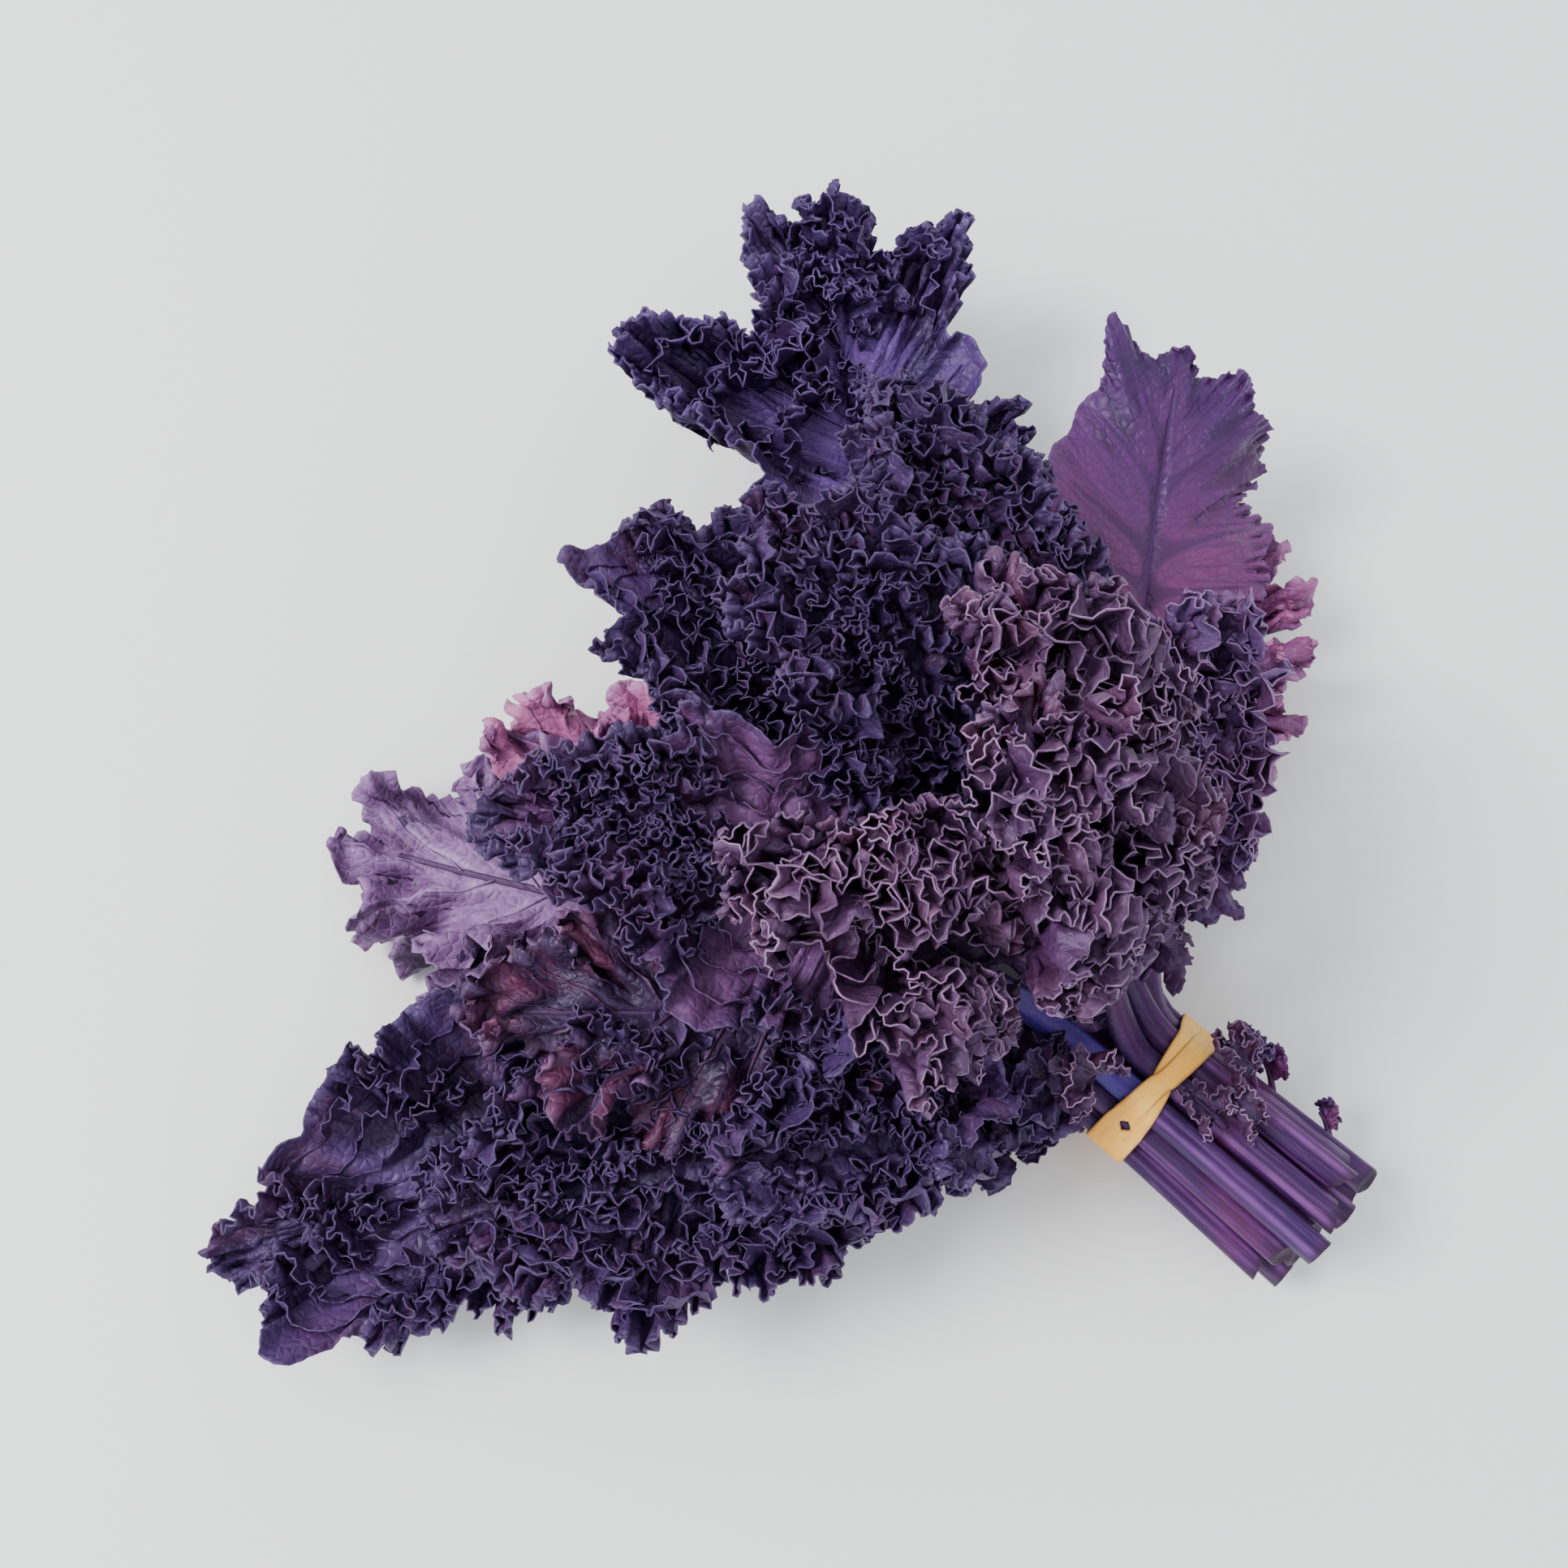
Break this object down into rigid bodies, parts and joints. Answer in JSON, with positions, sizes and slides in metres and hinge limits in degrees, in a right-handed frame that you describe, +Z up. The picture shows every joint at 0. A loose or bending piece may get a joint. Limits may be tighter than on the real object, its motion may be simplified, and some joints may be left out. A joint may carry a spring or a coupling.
{
  "type": "purple kale bunch",
  "caption": "A lying bunch of curly purple kale: long-stemmed frilled leaves fanned out from stems that a flat rubber band holds together.",
  "frame": {"origin": "middle of the bunch's footprint, on the surface that it lies on", "axes": "+Z up; the tied stems run along Y with their cut ends at -Y, and the leaves fan out towards +Y and to both sides along X"},
  "size_m": [0.4078, 0.3342, 0.1551],
  "materials": {
    "kale_leaf": "dark purple leaf with a thin waxy bloom and paler margins, ribs and undersides",
    "rubber_band": "plain tan natural rubber, satin"
  },
  "bodies": {
    "root": {"leaf_01": "kale_leaf", "leaf_02": "kale_leaf", "leaf_03": "kale_leaf", "leaf_04": "kale_leaf", "leaf_05": "kale_leaf", "leaf_06": "kale_leaf", "leaf_07": "kale_leaf", "leaf_08": "kale_leaf", "leaf_09": "kale_leaf", "leaf_10": "kale_leaf", "leaf_11": "kale_leaf", "leaf_12": "kale_leaf", "leaf_13": "kale_leaf", "leaf_14": "kale_leaf", "leaf_15": "kale_leaf", "leaf_16": "kale_leaf", "leaf_17": "kale_leaf", "leaf_18": "kale_leaf", "leaf_19": "kale_leaf", "rubber_band": "rubber_band"}
  },
  "joints": []
}
